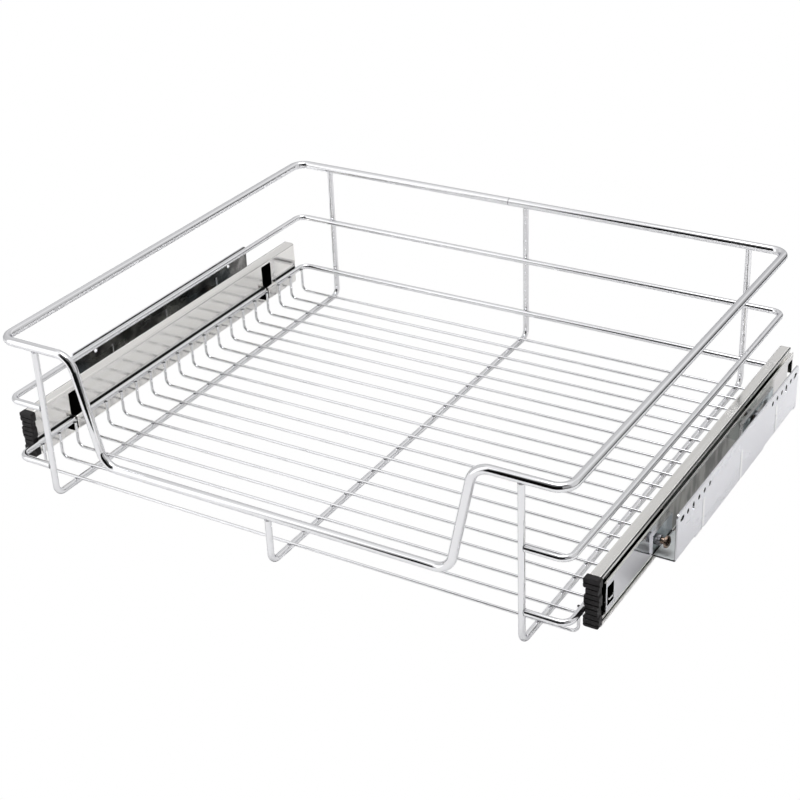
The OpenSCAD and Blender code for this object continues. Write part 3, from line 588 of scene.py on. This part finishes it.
def addFloorWire(number, y):
    # Straight across with both ends turned up; the top of each end, where it meets the low rail, is painted
    # dark as shade.
    s, e, z, top = floorWires, floorWires["endX"], floorWires["height"], rails["low"]
    points = [(-e, y, top), (-e, y, z), (e, y, z), (e, y, top)]
    bent = wire(points, s["bend"], s["thickness"], endRound=s["endRound"])
    obj = addPiece(f"floorWire{number:02d}", "basket", "chrome_wire", [f"floor_wire_{number:02d}"],
                   ([bent], finishes["chrome_wire"]), ([], finishes["cut"]))
    centres = np.empty(3 * len(obj.data.polygons))
    obj.data.polygons.foreach_get("center", centres)
    cut = centres[2::3] > (top - s["cutLength"]) * mm
    obj.data.polygons.foreach_set("material_index", cut.astype(np.int32))


addRim()
addRail("midRailWire", "mid_rail", rails["middle"], False)
addRail("lowRailWire", "low_rail", rails["low"], True)
addHoop("hoopLeft", "hoop_left", -hoops["x"], rim["height"])
addHoop("hoopMiddle", "hoop_middle", 0, rim["dipHeight"])
addHoop("hoopRight", "hoop_right", hoops["x"], rim["height"])
for number, y in enumerate(wireYs, 1):
    addFloorWire(number, y)
print("stage: basket wires")

# Stops that fill the windows at the fronts of the cabinet members, each with a sprung steel catch. In
# mm: x and z of the stop and the catch count from the slide's own place, and y from the front rim wire.
windowStops = {"slideX": 251.3, "slideZ": 36.2,
               "backX": 4.7, "frontX": 9.9, "y": (37.17, 46.5), "height": 15.4,
               "corner": 0.6, "chamfer": 0.4,
               "catchX": 10.35, "catchZ": -4.6, "catchY": (38.0, 43.6), "catchThickness": 1.3,
               "catchSunk": 0.6, "catchBend": 0.5, "catchRound": 0.2}


def addWindowStop(side, word):
    # A block that reaches through the web, and a wire bent round three sides of a box over its face.
    s = windowStops
    middle = side * (s["slideX"] + (s["backX"] + s["frontX"]) / 2)
    halfX, halfZ = (s["frontX"] - s["backX"]) / 2, s["height"] / 2
    body = block((middle, s["slideZ"]), halfX, halfZ, *s["y"], s["corner"], s["chamfer"])
    inner, outer = side * (s["slideX"] + s["frontX"] - s["catchSunk"]), side * (s["slideX"] + s["catchX"])
    z = s["slideZ"] + s["catchZ"]
    y0, y1 = s["catchY"]
    points = [(inner, y0, z), (outer, y0, z), (outer, y1, z), (inner, y1, z)]
    catch = wire(points, s["catchBend"], s["catchThickness"], endRound=s["catchRound"])
    addPiece("windowStop" + word, "cabinet_mount", "black_plastic", ["window_buffer_" + word.lower()],
             ([body], finishes["insert"]), ([catch], finishes["chrome_wire"]))


addWindowStop(-1, "Left")
addWindowStop(1, "Right")
print("stage: window stops")

# Cards round the set: azimuth from -Y towards +X and elevation in degrees, brightness, softness in
# degrees. Each is laid over the ones before it. Past 180 degrees a card doesn't wrap round.
cards = [
    ((-200, 200), (55, 100), 0.86, 14),      # ceiling
    ((-200, 200), (74, 100), 5.0, 4),        # lamp overhead
    ((-142, -118), (-40, 45), 0.72, 8),      # window at the back left
    ((-100, -64), (-40, 50), 0.60, 10),      # left wall
    ((-62, -28), (-40, 60), 1.15, 5),        # softbox at the front left
    ((-30, -23), (-40, 62), 0.50, 3),        # its frame
    ((150, 200), (12, 62), 0.80, 8),         # bright wall behind
    ((132, 162), (-40, 25), 0.43, 9),        # dim doorway at the back right
    ((139, 146), (-14, 13), 0.07, 7),        # dark gap of its door
    ((118, 168), (-60, 5), 0.05, 5),         # dark gap beyond the table at the back right
    ((-30, 80), (36, 66), 0.15, 8),          # dim upper room on the camera's side
    ((42, 82), (0, 40), 0.33, 6),            # right wall
    ((75, 118), (-60, 1), 0.30, 5),          # floor on the right
    ((38, 76), (-60, 2), 0.012, 4),          # dark strip beyond the table on the right
    ((-25, 42), (-60, 38), 0.003, 2),        # dark room behind the camera
]
# Lengths in metres. The table's shade below the basket sets in over shadeAlong from the front and fades
# out over shadeAcross towards the sides.
studio = {"wall": 0.64, "blue": 1.01, "radius": 3.2, "columns": 180, "rows": 90, "lastRow": 89.5,
          "tableX": (-1.3, 0.7), "tableY": (-0.5, 0.8), "tableDrop": 0.0006, "tablePale": 0.97,
          "shade": 0.13, "shadeAlong": (-0.25, -0.13), "shadeAcross": (0.21, 0.30)}


def edge(angle, at, soft):
    # A smooth step from 0 to 1 across soft degrees: 3 t^2 - 2 t^3.
    t = np.clip((angle - at) / soft + 0.5, 0, 1)
    return t * t * (3 - 2 * t)


def cardLight(az, el):
    # Each card's share is the product of its four soft edges, and light = mix(light, level, share).
    light = np.full(az.shape, studio["wall"])
    for (az0, az1), (el0, el1), level, soft in cards:
        share = edge(az, az0, soft) * (1 - edge(az, az1, soft))
        share = share * edge(el, el0, soft) * (1 - edge(el, el1, soft))
        light = light * (1 - share) + level * share
    return light


def glowFinish():
    f = Finish("glow")
    color = f.node("ShaderNodeAttribute", {"attribute_name": "glow"})
    f.finishWith(f.node("ShaderNodeEmission", sockets={"Color": color}))
    return f.material


def tableFinish():
    # The camera sees plain white; all else sees matt white, with a painted shade below the basket.
    f = Finish("table")
    below = f.axis(1).ease(*studio["shadeAlong"]) * (1 - abs(f.axis(0)).ease(*studio["shadeAcross"]))
    pale = studio["tablePale"] - studio["shade"] * below
    matt = f.node("ShaderNodeBsdfDiffuse", sockets={"Color": pale})
    white = f.node("ShaderNodeEmission")
    seen = f.node("ShaderNodeLightPath", out="Is Camera Ray")
    f.finishWith(f.node("ShaderNodeMixShader", sockets={0: seen, 1: matt, 2: white}))
    return f.material


def addDome():
    # A sphere of radius r: r * (sin az cos el, -cos az cos el, sin el), which glows by its cards.
    n, rows, last = studio["columns"], studio["rows"], studio["lastRow"]
    az = np.linspace(-180, 180, n, endpoint=False)
    el, az = np.meshgrid(np.linspace(-last, last, rows), az, indexing="ij")
    e, a = np.radians(el), np.radians(az)
    around = np.stack([np.sin(a) * np.cos(e), -np.cos(a) * np.cos(e), np.sin(e)], -1).reshape(-1, 3)
    dome = addMesh("studioDome", [([(studio["radius"] * around, gridFaces(rows, n))], glowFinish())])
    light = cardLight(az.ravel(), el.ravel())
    colors = np.stack([light, light, studio["blue"] * light, np.ones_like(light)], -1)
    glow = dome.data.color_attributes.new("glow", "FLOAT_COLOR", "POINT")
    glow.data.foreach_set("color", colors.ravel())
    dome.visible_camera = False
    dome.visible_shadow = False
    return dome


def addTable():
    (x0, x1), (y0, y1), z = studio["tableX"], studio["tableY"], -studio["tableDrop"]
    corners = np.array([(x0, y0, z), (x1, y0, z), (x1, y1, z), (x0, y1, z)])
    return addMesh("studioTable", [([(corners, [[0, 1, 2, 3]])], tableFinish())])


def addStudio():
    dome, table = addDome(), addTable()
    world = bpy.data.worlds.new("world")
    world.use_nodes = True
    world.node_tree.nodes["Background"].inputs["Color"].default_value = (1, 1, 1, 1)
    bpy.context.scene.world = world
    bpy.context.scene.view_settings.view_transform = "Standard"


addStudio()
print("stage: studio")
